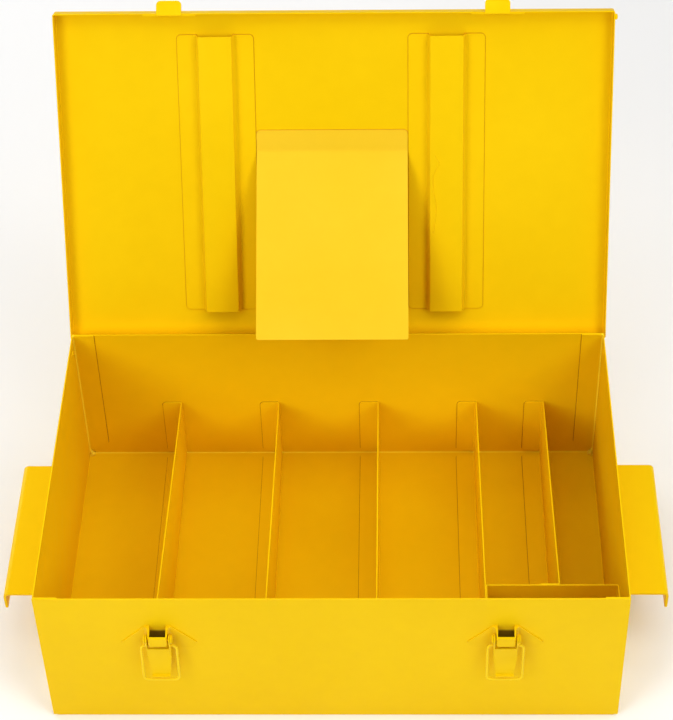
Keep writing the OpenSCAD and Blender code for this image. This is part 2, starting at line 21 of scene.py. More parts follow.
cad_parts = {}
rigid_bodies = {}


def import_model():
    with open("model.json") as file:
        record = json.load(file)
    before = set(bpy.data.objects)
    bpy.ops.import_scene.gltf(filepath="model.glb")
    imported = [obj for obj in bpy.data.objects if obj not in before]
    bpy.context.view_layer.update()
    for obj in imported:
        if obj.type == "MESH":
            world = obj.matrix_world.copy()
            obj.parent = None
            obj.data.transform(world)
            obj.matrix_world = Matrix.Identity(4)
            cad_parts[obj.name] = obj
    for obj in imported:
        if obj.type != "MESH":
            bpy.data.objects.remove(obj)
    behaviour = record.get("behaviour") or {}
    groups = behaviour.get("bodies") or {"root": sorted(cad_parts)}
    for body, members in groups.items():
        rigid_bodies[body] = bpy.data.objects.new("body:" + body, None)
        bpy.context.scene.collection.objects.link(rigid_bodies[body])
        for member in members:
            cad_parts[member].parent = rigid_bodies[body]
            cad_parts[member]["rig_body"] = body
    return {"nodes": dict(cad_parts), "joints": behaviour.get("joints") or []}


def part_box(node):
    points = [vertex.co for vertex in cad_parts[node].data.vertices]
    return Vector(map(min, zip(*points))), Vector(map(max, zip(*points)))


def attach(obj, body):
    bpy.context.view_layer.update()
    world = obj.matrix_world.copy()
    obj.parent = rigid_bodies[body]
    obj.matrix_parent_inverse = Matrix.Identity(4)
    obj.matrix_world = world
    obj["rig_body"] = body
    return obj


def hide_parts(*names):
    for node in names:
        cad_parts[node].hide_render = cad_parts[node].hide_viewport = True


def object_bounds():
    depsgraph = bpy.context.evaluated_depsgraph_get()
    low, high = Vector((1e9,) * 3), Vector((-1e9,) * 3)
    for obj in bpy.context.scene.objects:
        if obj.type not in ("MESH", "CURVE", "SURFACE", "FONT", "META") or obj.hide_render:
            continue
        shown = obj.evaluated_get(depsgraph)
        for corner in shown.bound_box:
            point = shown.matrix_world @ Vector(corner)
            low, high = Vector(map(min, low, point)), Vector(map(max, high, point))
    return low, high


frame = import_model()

bl_info = {
    "name": "Sheet-Steel Tool Case",
    "version": (1, 0, 0),
    "blender": (4, 5, 0),
    "location": "3D View > Sidebar > Tool Case",
    "description": "Dresses the frame of a folded, spot-welded and enamelled tool case",
    "category": "Object",
}

MM = 0.001

CASE, INSIDE, FITTINGS = "enamel_case", "enamel_inside", "enamel_fittings"
FINISH = {CASE: "sprayed_case", INSIDE: "sprayed_inside", FITTINGS: "sprayed_fittings"}


def corner_list(low_high):
    """Both corners of a box as plain lists of numbers."""
    return [[float(v) for v in corner] for corner in low_high]


CAD_BOX = corner_list(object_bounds())
CASE_BOX = corner_list(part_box("body_tub"))
JOINTS = {joint["name"]: joint for joint in frame["joints"]}
LID_HINGE = JOINTS["lid_hinge"]

# where the right latch's lever turns; the left latch is its mirror image
LATCH_X, _, LEVER_PIN_Z = JOINTS["lever_right_hinge"]["pos_m"]

# thickness of the sheet that the tub is folded from
SHEET = 1.2 * MM

# two faces lie on each other when they are nearer than CONTACT and the cosine between them is over FLAT
CONTACT = 0.05 * MM
FLAT = 0.99

# a touching triangle of a smaller area than this shows no crevice
SMALL_FACE = (2 * MM) ** 2

# the plates that paint the shade in the crevices: their thickness, and how far they end below a sheet's top
# edge
SEAM_PLATE = 0.1 * MM
SEAM_TOP_GAP = 0.1 * MM

# bends sharper than this many degrees are rounded; the holder's shallow bends are rounded too
SHARP_BEND = 30
HOLDER_BEND = 15

# edge radius where it differs from the case's own
HANDLE_ROUND = 0.6 * MM
HINGE_ROUND = 0.2 * MM
LATCH_ROUND = 0.3 * MM

# the welded plates that get painted crevice shade round their edges, with the slot of each
SEAMED = {
    "divider_1": INSIDE,
    "divider_2": INSIDE,
    "divider_3": INSIDE,
    "divider_4": INSIDE,
    "divider_5": INSIDE,
    "cross_divider": INSIDE,
    "lid_channel_left": INSIDE,
    "lid_channel_right": INSIDE,
    "holder_plate": INSIDE,
    "handle_left": CASE,
    "handle_right": CASE,
    "hinge_body_leaf": CASE,
}


# Sizes, colours and studio values


class ToolCaseSizes(bpy.types.PropertyGroup):
    """Sizes of the softened edges and of the crevices' painted shade"""

    edge_round: FloatProperty(
        name="Cut edge radius",
        description="How far the enamel rounds a cut edge of the sheet",
        default=0.35 * MM,
        min=0.05 * MM,
        max=0.55 * MM,
        precision=5,
        subtype="DISTANCE",
        unit="LENGTH",
    )
    seam_width: FloatProperty(
        name="Seam width",
        description="How far the dark crevice shows round a plate that is welded on another",
        default=0.5 * MM,
        min=0.1 * MM,
        max=0.52 * MM,
        precision=5,
        subtype="DISTANCE",
        unit="LENGTH",
    )
    seam_rise: FloatProperty(
        name="Seam rise",
        description="How far the crevice line stands over the sheet that carries the plate",
        default=0.12 * MM,
        min=0.02 * MM,
        max=0.3 * MM,
        precision=5,
        subtype="DISTANCE",
        unit="LENGTH",
    )
    edge_steps: IntProperty(
        name="Edge steps",
        description="Number of faces round each softened edge",
        default=2,
        min=1,
        max=4,
    )


class ToolCaseColours(bpy.types.PropertyGroup):
    """Colours and gloss of the enamel, its painted highlights and painted shade, the crevices' painted shade
    and the floor
    """

    enamel: FloatVectorProperty(
        name="Enamel",
        description="Colour of the baked enamel, in linear light",
        default=(0.93, 0.6, 0.0028),
        min=0,
        max=1,
        subtype="COLOR",
    )
    enamel_gloss: FloatProperty(
        name="Enamel roughness",
        description="How matt the enamel is",
        default=0.38,
        min=0.05,
        max=1,
        subtype="FACTOR",
    )
    # painted highlight: the holder's enamel is made paler so that it looks brightly lit
    holder: FloatVectorProperty(
        name="Holder painted highlight",
        description="Colour of the slightly paler enamel on the lid's holder, in linear light",
        default=(0.93, 0.6, 0.0208),
        min=0,
        max=1,
        subtype="COLOR",
    )
    # painted shade: the dark colour of the crevice plates stands in for the shadow deep in the joints
    # between sheets
    seam: FloatVectorProperty(
        name="Seam",
        description="Colour deep in the joints between two sheets, in linear light",
        default=(0.36, 0.15, 0.001),
        min=0,
        max=1,
        subtype="COLOR",
    )
    # painted highlight on the tub's inner rear folds, the corner welds and, in part, the wire bails
    pool: FloatVectorProperty(
        name="Painted highlight",
        description="Colour of the thick enamel in the inner folds and on the welds, in linear light",
        default=(1.0, 0.77, 0.03),
        min=0,
        max=1,
        subtype="COLOR",
    )
    # painted shade behind each latch's strap and lever, where the recess lies in shadow
    painted_latch_shade_colour: FloatVectorProperty(
        name="Painted latch shade",
        description="Colour where the spray didn't reach behind the latches, in linear light",
        default=(0.2, 0.115, 0.001),
        min=0,
        max=1,
        subtype="COLOR",
    )
    floor: FloatVectorProperty(
        name="Floor",
        description="Colour of the studio floor",
        default=(0.97, 0.97, 0.97),
        min=0,
        max=1,
        subtype="COLOR",
    )


class ToolCaseStudio(bpy.types.PropertyGroup):
    """Values of the camera, the lights and the floor"""

    camera_place: FloatVectorProperty(
        name="Camera place",
        description="Where the camera stands",
        default=(0.06414, -1.39765, 1.78474),
        subtype="TRANSLATION",
        unit="LENGTH",
    )
    camera_turn: FloatVectorProperty(
        name="Camera turn",
        description="How the camera is turned, about X, Y and Z",
        default=(math.radians(46.6425), math.radians(0.8707), math.radians(0.6003)),
        subtype="EULER",
        unit="ROTATION",
    )
    lens: FloatProperty(
        name="Lens",
        description="Focal length in millimetres",
        default=106.521,
        min=20,
        max=300,
    )
    shift_x: FloatProperty(
        name="Shift X",
        description="Sideways shift of the view, as a share of its longer side",
        default=-0.03187,
    )
    shift_y: FloatProperty(
        name="Shift Y",
        description="Upward shift of the view, as a share of its longer side",
        default=-0.14583,
    )
    light_scale: FloatProperty(
        name="Light scale",
        description="Multiplies the power of every softbox",
        default=1.0,
        min=0,
    )
    light_distance: FloatProperty(
        name="Light distance",
        description="How far every softbox stands from the middle of the case",
        default=3.0,
        min=1,
        subtype="DISTANCE",
        unit="LENGTH",
    )
    sky: FloatProperty(
        name="Sky brightness",
        description="Brightness of the even light from all round",
        default=0.01,
        min=0,
    )
    floor_size: FloatProperty(
        name="Floor size",
        description="Length of each side of the floor",
        default=14,
        min=2,
        subtype="DISTANCE",
        unit="LENGTH",
    )


# Working in Blender's own operators


def only(obj):
    """Make obj the active object and the only one selected."""
    if bpy.context.mode != "OBJECT":
        bpy.ops.object.mode_set(mode="OBJECT")
    bpy.ops.object.select_all(action="DESELECT")
    obj.select_set(True)
    bpy.context.view_layer.objects.active = obj
    return obj


def apply_modifier(obj, kind, **values):
    """Add one modifier with these values and apply it."""
    only(obj)
    modifier = obj.modifiers.new(kind.title(), kind)
    for name, value in values.items():
        setattr(modifier, name, value)
    bpy.ops.object.modifier_apply(modifier=modifier.name)


def body_of_node(node):
    """The name of the CAD body that a node rides on."""
    return frame["nodes"][node]["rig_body"]


def finish_piece(obj, body, slot, *nodes, material=None):
    """Give a finished piece its material, picked by its slot unless one is named, and its body, and hide the
    CAD nodes that it stands for.
    """
    obj.data.materials.clear()
    obj.data.materials.append(bpy.data.materials[material or FINISH[slot]])
    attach(obj, body)
    if nodes:
        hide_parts(*nodes)
    return obj


# Softened sheet


def sheet_copy(node, name):
    """A merged copy of a CAD node's mesh, with its flat faces whole again."""
    source = frame["nodes"][node]
    obj = bpy.data.objects.new(name, source.data.copy())
    obj.data.name = name
    obj.data.materials.clear()
    bpy.context.scene.collection.objects.link(obj)
    only(obj)
    bpy.ops.object.mode_set(mode="EDIT")
    bpy.ops.mesh.customdata_custom_splitnormals_clear()
    bpy.ops.mesh.select_all(action="SELECT")
    bpy.ops.mesh.remove_doubles(threshold=1e-6)
    bpy.ops.mesh.dissolve_limited(angle_limit=math.radians(0.5))
    bpy.ops.object.mode_set(mode="OBJECT")
    return obj


def soften(obj, radius, steps, angle):
    """Round every edge that is sharper than angle, as a coat of enamel does."""
    only(obj)
    bpy.ops.object.shade_smooth_by_angle(angle=math.radians(angle))
    apply_modifier(
        obj,
        "BEVEL",
        width=radius,
        segments=steps,
        limit_method="ANGLE",
        angle_limit=math.radians(angle),
        use_clamp_overlap=True,
        harden_normals=True,
    )
    return obj


def soft_node(node, slot, radius=None, angle=SHARP_BEND, material=None):
    """Stand a softened copy in for one CAD node."""
    sizes = bpy.context.scene.toolcase_sizes
    obj = sheet_copy(node, node + "_soft")
    soften(obj, radius or sizes.edge_round, sizes.edge_steps, angle)
    return finish_piece(obj, body_of_node(node), slot, node, material=material)


# Crevices: dark plates of painted shade in the joints


def keep_faces(obj, wanted):
    """Delete every face of obj whose number isn't in wanted."""
    only(obj)
    mesh = obj.data
    for group in (mesh.vertices, mesh.edges, mesh.polygons):
        group.foreach_set("select", [False] * len(group))
    for number in wanted:
        mesh.polygons[number].select = True
    bpy.ops.object.mode_set(mode="EDIT")
    bpy.ops.mesh.select_mode(type="FACE")
    bpy.ops.mesh.select_all(action="INVERT")
    bpy.ops.mesh.delete(type="FACE")
    bpy.ops.object.mode_set(mode="OBJECT")
    if not mesh.polygons:
        raise RuntimeError(obj.name + " kept no face")


def search_tree(obj):
    """The faces of an object, ready to be asked which of them is nearest to a place."""
    mesh = obj.data
    places = [corner.co for corner in mesh.vertices]
    return BVHTree.FromPolygons(places, [face.vertices for face in mesh.polygons])


def touching_faces(obj, node):
    """The faces of a copy of node that lie flat against another CAD node of the same body."""
    body = body_of_node(node)
    others = [name for name in frame["nodes"] if name != node and body_of_node(name) == body]
    trees = [search_tree(frame["nodes"][name]) for name in others]
    mesh = obj.data
    mesh.calc_loop_triangles()
    found = set()
    for triangle in mesh.loop_triangles:
        if triangle.area < SMALL_FACE:
            continue
        middle = sum((mesh.vertices[i].co for i in triangle.vertices), Vector()) / 3
        for tree in trees:
            place, normal, _, _ = tree.find_nearest(middle, CONTACT)
            if place is not None and normal.dot(triangle.normal) < -FLAT:
                found.add(triangle.polygon_index)
    return found


def crevice_plate(obj, way=1, depth=0.0):
    """Turn flat faces into a thin plate for the painted crevice shade, a little wider all round, sunk so
    that only its rim shows.

    way is 1 for faces that look into the sheet that carries them, and -1 for faces that look out of it;
    depth is how far they are from that sheet.
    """
    sizes = bpy.context.scene.toolcase_sizes
    sink = sizes.seam_width + SEAM_PLATE / 2 - sizes.seam_rise
    apply_modifier(obj, "DISPLACE", strength=way * (depth + sink), mid_level=0, direction="NORMAL")
    apply_modifier(obj, "SOLIDIFY", thickness=SEAM_PLATE, offset=0)
    only(obj)
    bpy.ops.object.mode_set(mode="EDIT")
    bpy.ops.mesh.select_all(action="SELECT")
    bpy.ops.transform.shrink_fatten(value=sizes.seam_width, use_even_offset=True)
    bpy.ops.mesh.normals_make_consistent(inside=False)
    bpy.ops.object.mode_set(mode="OBJECT")
    return obj


def cut_above(obj, height):
    """Cut off what stands above a height, and close the cut."""
    only(obj)
    bpy.ops.object.mode_set(mode="EDIT")
    bpy.ops.mesh.select_all(action="SELECT")
    bpy.ops.mesh.bisect(
        plane_co=(0, 0, height),
        plane_no=(0, 0, 1),
        use_fill=True,
        clear_outer=True,
        threshold=1e-7,
    )
    bpy.ops.object.mode_set(mode="OBJECT")


def seam(node, slot):
    """A plate of painted shade in the crevice round every face of a node that is welded flat on its
    neighbour.
    """
    obj = sheet_copy(node, node + "_seam")
    keep_faces(obj, touching_faces(obj, node))
    crevice_plate(obj)
    if node in ("divider_5", "cross_divider"):
        cut_above(obj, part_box("cross_divider")[1][2] - SEAM_TOP_GAP)
    body = body_of_node(node)
    on_lid = body == body_of_node("lid_pan")
    return finish_piece(obj, body, slot, material="seam_shadow_lid" if on_lid else "seam_shadow")


# Lumps of weld and paint


def blob(place, radius, squash=(1, 1, 1)):
    """A round lump of weld or paint, still an unfinished sphere."""
    bpy.ops.object.select_all(action="DESELECT")
    bpy.ops.mesh.primitive_uv_sphere_add(segments=16, ring_count=10, radius=radius, location=place)
    lump = bpy.context.object
    lump.scale = squash
    return lump


def melt(lumps, name, grain, passes=3):
    """Run touching lumps together into one smooth closed bead."""
    bpy.ops.object.select_all(action="DESELECT")
    for lump in lumps:
        lump.select_set(True)
    obj = lumps[0]
    bpy.context.view_layer.objects.active = obj
    bpy.ops.object.transform_apply(location=True, rotation=True, scale=True)
    bpy.ops.object.join()
    obj.name = obj.data.name = name
    apply_modifier(obj, "REMESH", mode="VOXEL", voxel_size=grain)
    apply_modifier(obj, "SMOOTH", factor=0.5, iterations=passes)
    only(obj)
    bpy.ops.object.shade_smooth()
    return obj


def mirrored(obj, name, way_x, way_y):
    """A copy of a finished piece with its own mesh, mirrored in the case's middle planes."""
    twin = obj.copy()
    twin.data = obj.data.copy()
    twin.name = twin.data.name = name
    bpy.context.scene.collection.objects.link(twin)
    only(twin)
    bpy.ops.object.mode_set(mode="EDIT")
    bpy.ops.mesh.select_all(action="SELECT")
    bpy.ops.transform.resize(value=(way_x, way_y, 1), center_override=(0, 0, 0))
    bpy.ops.mesh.normals_make_consistent(inside=False)
    bpy.ops.object.mode_set(mode="OBJECT")
    return twin


def on_open_lid(across, out, up):
    """Where a place of the lid lies when it is open.

    It is given in mm as on the shut lid: across the case, and out in front of the hinge line and up over it.
    """
    hinge = Vector(LID_HINGE["pos_m"])
    opening = Matrix.Rotation(-math.radians(LID_HINGE["range_deg"][1]), 3, LID_HINGE["axis"])
    return hinge + opening @ Vector((across * MM - hinge.x, -out * MM, up * MM))


# Nodes of the materials


def feed(tree, node, inputs):
    """Give a node's inputs their values; each is a number, a colour or the socket that it comes from."""
    for label, value in inputs.items():
        if isinstance(value, bpy.types.NodeSocket):
            tree.links.new(value, node.inputs[label])
        else:
            node.inputs[label].default_value = value
    return node


def add_node(tree, kind, inputs, **settings):
    """A new node with these settings and inputs, as its output sockets."""
    node = tree.nodes.new(kind)
    for name, value in settings.items():
        setattr(node, name, value)
    return feed(tree, node, inputs).outputs


def math_node(tree, operation, *values):
    """A sum, product or other plain step; each value is a number or a socket."""
    return add_node(tree, "ShaderNodeMath", dict(enumerate(values)), operation=operation)[0]


def noise(tree, place, scale, detail):
    """Cloudy noise between 0 and 1."""
    inputs = {"Vector": place, "Scale": scale, "Detail": detail}
    return add_node(tree, "ShaderNodeTexNoise", inputs)["Fac"]


def ranged(tree, value, inputs, **settings):
    """A value brought from one range to another."""
    return add_node(tree, "ShaderNodeMapRange", {"Value": value, **inputs}, **settings)["Result"]


def mixed(tree, first, second, share, blend="MIX"):
    """Two colours mixed; the share of the second one is a number or a mask."""
    inputs = {"A": first, "B": second, "Factor": share}
    return add_node(tree, "ShaderNodeMix", inputs, data_type="RGBA", blend_type=blend)["Result"]


def group_node(tree, name, place, inputs=None):
    """One of the node groups, placed in a material, as its output sockets."""
    group = bpy.data.node_groups[name]
    return add_node(tree, "ShaderNodeGroup", {"Vector": place, **(inputs or {})}, node_tree=group)


def box_mask(tree, *sides):
    """1 within all sides and 0 outside them.

    A side is a distance, with the mm at which the mask is 0 and those at which it is 1.
    """
    mask = 1.0
    for distance, zero_at, one_at in sides:
        limits = {"From Min": zero_at * MM, "From Max": one_at * MM}
        step = ranged(tree, distance, limits, interpolation_type="SMOOTHSTEP")
        mask = math_node(tree, "MULTIPLY", mask, step)
    return mask


def new_group(name, numbers, outputs):
    """A node group that takes a place and these numbers: the group, its given sockets and its end node."""
    group = bpy.data.node_groups.new(name, "ShaderNodeTree")
    group.interface.new_socket("Vector", in_out="INPUT", socket_type="NodeSocketVector")
    for label, value in numbers.items():
        socket = group.interface.new_socket(label, in_out="INPUT", socket_type="NodeSocketFloat")
        socket.default_value = value
    for label in outputs:
        group.interface.new_socket(label, in_out="OUTPUT", socket_type="NodeSocketFloat")
    return group, group.nodes.new("NodeGroupInput").outputs, group.nodes.new("NodeGroupOutput")


def place_parts(tree, place):
    """A place's distance from the case's middle plane, its y and its z, as sockets."""
    x, y, z = add_node(tree, "ShaderNodeSeparateXYZ", {"Vector": place})
    return math_node(tree, "ABSOLUTE", x), y, z


# Effects that several materials share


def orange_peel_group():
    """Height of the fine skin that sprayed enamel dries with, and of the broad waves in thin sheet."""
    numbers = {"Peel Scale": 420.0, "Wave Scale": 7.0, "Wave Share": 0.6}
    group, given, end = new_group("Orange Peel", numbers, ["Height"])
    peel = noise(group, given["Vector"], given["Peel Scale"], 2)
    wave = noise(group, given["Vector"], given["Wave Scale"], 1)
    share = math_node(group, "MULTIPLY", wave, given["Wave Share"])
    feed(group, end, {"Height": math_node(group, "ADD", peel, share)})


def spray_drift_group():
    """Masks for how evenly the enamel was sprayed: broad drifts and fine mottling, each from 0 to 1."""
    numbers = {"Drift Scale": 4.5, "Mottle Scale": 60.0}
    group, given, end = new_group("Spray Drift", numbers, ["Drift", "Mottle"])
    for label, detail in (("Drift", 2), ("Mottle", 3)):
        clouds = noise(group, given["Vector"], given[label + " Scale"], detail)
        feed(group, end, {label: ranged(group, clouds, {"From Min": 0.3, "From Max": 0.7})})


def painted_latch_shade_group():
    """Mask of the painted shade behind a latch's strap and lever, where the recess lies in shadow, from 0 to
    1.
    """
    group, given, end = new_group("Painted Latch Shade", {}, ["Mask"])
    x, y, z = place_parts(group, given["Vector"])
    across = math_node(group, "ABSOLUTE", math_node(group, "SUBTRACT", x, LATCH_X))
    out = math_node(group, "SUBTRACT", CASE_BOX[0][1], y)
    up = math_node(group, "SUBTRACT", z, LEVER_PIN_Z)
    down = math_node(group, "SUBTRACT", LEVER_PIN_Z, z)
    strap = box_mask(group, (across, 8.2, 7.9), (out, 10.9, 10.3), (up, 5, 1), (down, 9.4, 9.0))
    lever = box_mask(group, (across, 10.4, 8.4), (out, 9.6, 8.8), (down, 9.0, 9.4), (down, 22, 10))
    wall = box_mask(group, (out, -0.7, -0.3))
    feed(group, end, {"Mask": math_node(group, "MULTIPLY", math_node(group, "MAXIMUM", strap, lever), wall)})


def painted_fold_highlight_group():
    """Mask of the painted highlight along the inner folds at the tub's rear, from 0 to 1."""
    group, given, end = new_group("Painted Fold Highlight", {}, ["Mask"])
    x, y, up = place_parts(group, given["Vector"])
    from_side = math_node(group, "SUBTRACT", CASE_BOX[1][0], x)
    from_rear = math_node(group, "SUBTRACT", CASE_BOX[1][1], y)
    floor_fold = box_mask(group, (from_rear, 2.8, 1.9), (up, 2.7, 2.0))
    corner = box_mask(group, (from_side, 3.0, 2.2), (from_rear, 4.2, 3.2))
    inner_face = box_mask(group, (from_side, 0.4, 0.7), (from_rear, 0.4, 0.7), (up, 0.4, 0.7))
    folds = math_node(group, "MAXIMUM", floor_fold, corner)
    feed(group, end, {"Mask": math_node(group, "MULTIPLY", folds, inner_face)})


# Materials

# what thick and thin enamel and the darkest specks make of the red, green and blue of its colour
THICK_COAT = (1.02, 1.03, 1.4)
THIN_COAT = (0.975, 0.96, 0.8)
SPECK = (0.985, 0.98, 0.97)

# how much smoother and how much more matt the mottling makes the enamel
SMOOTHER, ROUGHER = 0.03, 0.04

# how far the wire bails' colour lies between the enamel's and the painted highlight's, so the wire looks lit
WIRE_HIGHLIGHT_SHARE = 0.4


def toned(colour, shares):
    """A colour with each part taken times its share, for a node's socket."""
    return (*(min(part * share, 1) for part, share in zip(colour, shares)), 1)


def new_material(name):
    """A new material, its node tree and its main shader."""
    material = bpy.data.materials.new(name)
    material.use_nodes = True
    return material, material.node_tree, material.node_tree.nodes["Principled BSDF"]


def enamel(name, colour, gloss_shift=0.0, peel_depth=0.03 * MM, drift_scale=4.5):
    """Baked enamel on steel: an even colour with faint drifts and a skin of orange peel, with painted
    highlights on the rear folds and painted shade behind the latches.
    """
    colours = bpy.context.scene.toolcase_colours
    _, tree, shader = new_material(name)
    place = add_node(tree, "ShaderNodeTexCoord", {})["Object"]
    drift = group_node(tree, "Spray Drift", place, {"Drift Scale": drift_scale})
    tone = mixed(tree, toned(colour, THIN_COAT), toned(colour, THICK_COAT), drift["Drift"])
    specks = mixed(tree, (*SPECK, 1), (1, 1, 1, 1), drift["Mottle"])
    coat = mixed(tree, tone, specks, 1.0, "MULTIPLY")
    # paint the highlight on the tub's rear folds and the shade behind the latches into the colour
    for effect, other in (("Painted Fold Highlight", colours.pool), ("Painted Latch Shade", colours.painted_latch_shade_colour)):
        coat = mixed(tree, coat, (*other, 1), group_node(tree, effect, place)["Mask"])
    gloss = colours.enamel_gloss + gloss_shift
    matt = ranged(tree, drift["Mottle"], {"To Min": gloss - SMOOTHER, "To Max": gloss + ROUGHER})
    skin = group_node(tree, "Orange Peel", place)["Height"]
    bump = add_node(tree, "ShaderNodeBump", {"Height": skin, "Strength": 1.0, "Distance": peel_depth})
    look = {
        "Base Color": coat,
        "Roughness": matt,
        "Normal": bump["Normal"],
        "IOR": 1.5,
        "Specular IOR Level": 0.08,
        "Specular Tint": (1.0, 0.75, 0.1, 1),
    }
    feed(tree, shader, look)


def crevice_shade_material(name, brightness=1.0):
    """Painted shade for the joint between two sheets: a dark colour that stands in for the shadow in the
    crevice.
    """
    dark = Vector(bpy.context.scene.toolcase_colours.seam) * brightness
    light = dark * 1.25
    _, tree, shader = new_material(name)
    place = add_node(tree, "ShaderNodeTexCoord", {})["Object"]
    drift = group_node(tree, "Spray Drift", place, {"Drift Scale": 45, "Mottle Scale": 260})
    look = {
        "Base Color": mixed(tree, (*dark, 1), (*light, 1), drift["Drift"]),
        "Roughness": ranged(tree, drift["Mottle"], {"To Min": 0.7, "To Max": 0.9}),
        "Specular IOR Level": 0.1,
    }
    feed(tree, shader, look)


def floor_material():
    """Plain pale paper for the studio floor."""
    material, tree, shader = new_material("studio_paper")
    paper = (*bpy.context.scene.toolcase_colours.floor, 1)
    feed(tree, shader, {"Base Color": paper, "Roughness": 0.9, "Specular IOR Level": 0.1})
    return material


# Operators


class TOOLCASE_OT_finishes(bpy.types.Operator):
    """Make the enamel of the case, its inner pieces and its fittings, with its painted highlights and
    painted shade
    """

    bl_idname = "toolcase.finishes"
    bl_label = "Finishes"
    bl_options = {"REGISTER", "UNDO"}

    def execute(self, context):
        colours = context.scene.toolcase_colours
        wire = Vector(colours.enamel).lerp(Vector(colours.pool), WIRE_HIGHLIGHT_SHARE)
        orange_peel_group()
        spray_drift_group()
        painted_latch_shade_group()
        painted_fold_highlight_group()
        enamel(FINISH[CASE], colours.enamel)
        enamel(FINISH[INSIDE], colours.enamel, gloss_shift=-0.03)
        # the holder's paler enamel is a painted highlight
        enamel("holder_enamel_painted_highlight", colours.holder, gloss_shift=-0.03)
        enamel(FINISH[FITTINGS], colours.enamel, gloss_shift=-0.06, peel_depth=0.02 * MM, drift_scale=30)
        # the corner welds are coloured with the painted highlight
        enamel("weld_enamel_painted_highlight", colours.pool, gloss_shift=-0.1, peel_depth=0.02 * MM)
        # the wire bails are partly coloured with the painted highlight
        enamel("wire_enamel_painted_highlight", wire, gloss_shift=-0.1, peel_depth=0.02 * MM)
        # the crevice plates' painted shade, made lighter on the lid
        crevice_shade_material("seam_shadow")
        crevice_shade_material("seam_shadow_lid", brightness=1.6)
        for obj in frame["nodes"].values():
            obj.data.materials.clear()
            obj.data.materials.append(bpy.data.materials[FINISH[CASE]])
        return {"FINISHED"}


class TOOLCASE_OT_tub(bpy.types.Operator):
    """Soften the folded tub"""

    bl_idname = "toolcase.tub"
    bl_label = "Tub"
    bl_options = {"REGISTER", "UNDO"}

    def execute(self, context):
        soft_node("body_tub", CASE)
        return {"FINISHED"}


# one corner weld, in mm: each lump's distance from the tub's side and rear, its height, radius and stretch
WELD_LUMPS = (
    (2.6, 2.6, 2.45, 2.4, (1, 1, 1)),
    (4.5, 4.5, 3.2, 2.9, (1, 1, 1)),
    (2.4, 2.4, 4.9, 2.1, (1, 1, 1)),
    (2.1, 2.1, 6.6, 1.7, (1, 1, 1.3)),
    (5.2, 2.6, 1.9, 1.7, (1.5, 1, 0.8)),
    (2.6, 5.2, 1.9, 1.7, (1, 1.5, 0.8)),
)
WELD_GRAIN = 0.35 * MM


class TOOLCASE_OT_corner_welds(bpy.types.Operator):
    """Fill the open reliefs at the floor's four corners with a bead of weld"""

    bl_idname = "toolcase.corner_welds"
    bl_label = "Corner welds"
    bl_options = {"REGISTER", "UNDO"}

    def execute(self, context):
        side, rear = CASE_BOX[1][:2]
        lumps = [
            blob((side - x * MM, rear - y * MM, z * MM), radius * MM, stretch)
            for x, y, z, radius, stretch in WELD_LUMPS
        ]
        first = melt(lumps, "corner_weld_rear_right", WELD_GRAIN)
        beads = [first]
        for name, way_x, way_y in (("rear_left", -1, 1), ("front_right", 1, -1), ("front_left", -1, -1)):
            beads.append(mirrored(first, "corner_weld_" + name, way_x, way_y))
        for bead in beads:
            # the beads take the painted highlight colour
            finish_piece(bead, body_of_node("body_tub"), CASE, material="weld_enamel_painted_highlight")
        return {"FINISHED"}


class TOOLCASE_OT_seams(bpy.types.Operator):
    """Lay the plates of painted crevice shade round the welded tabs, flanges and plates"""

    bl_idname = "toolcase.seams"
    bl_label = "Seams"
    bl_options = {"REGISTER", "UNDO"}

    def execute(self, context):
        for node, slot in SEAMED.items():
            seam(node, slot)
        flaps = sheet_copy("body_tub", "corner_flap_seam")
        inner = CASE_BOX[1][1] - 2 * SHEET
        wanted = [
            face.index
            for face in flaps.data.polygons
            if abs(face.normal.y) > FLAT and abs(abs(face.center.y) - inner) < CONTACT
        ]
        keep_faces(flaps, wanted)
        crevice_plate(flaps, way=-1, depth=SHEET)
        cut_above(flaps, CASE_BOX[1][2] - SEAM_TOP_GAP)
        finish_piece(flaps, body_of_node("body_tub"), CASE, material="seam_shadow")
        return {"FINISHED"}


class TOOLCASE_OT_dividers(bpy.types.Operator):
    """Soften the five dividers and the cross divider"""

    bl_idname = "toolcase.dividers"
    bl_label = "Dividers"
    bl_options = {"REGISTER", "UNDO"}

    def execute(self, context):
        for node in ("divider_1", "divider_2", "divider_3", "divider_4", "divider_5", "cross_divider"):
            soft_node(node, INSIDE)
        return {"FINISHED"}


class TOOLCASE_OT_handles(bpy.types.Operator):
    """Soften the two bent handles"""

    bl_idname = "toolcase.handles"
    bl_label = "Handles"
    bl_options = {"REGISTER", "UNDO"}

    def execute(self, context):
        for node in ("handle_left", "handle_right"):
            soft_node(node, CASE, HANDLE_ROUND)
        return {"FINISHED"}


class TOOLCASE_OT_lid(bpy.types.Operator):
    """Soften the lid pan with its channels, holder and catches"""

    bl_idname = "toolcase.lid"
    bl_label = "Lid"
    bl_options = {"REGISTER", "UNDO"}

    def execute(self, context):
        soft_node("lid_pan", CASE)
        for node in ("lid_channel_left", "lid_channel_right"):
            soft_node(node, INSIDE)
        # the holder takes its paler enamel, a painted highlight
        soft_node("holder_plate", INSIDE, angle=HOLDER_BEND, material="holder_enamel_painted_highlight")
        for node in ("catch_left", "catch_right"):
            soft_node(node, FITTINGS)
        return {"FINISHED"}


# the paint run's way down the right lid channel, in mm: how far each point is from the channel's middle
# and from the lid's hinge line, and how far all of them are over that line when the lid is shut
RUN_WAY = (
    (-11.7, 202.1),
    (-7.1, 194.2),
    (-10.7, 188.1),
    (-13.4, 181.7),
    (-13.7, 165.5),
    (-10.2, 148.2),
    (-11.1, 135.2),
    (-13.3, 119.9),
)
RUN_HEIGHT = 2.5

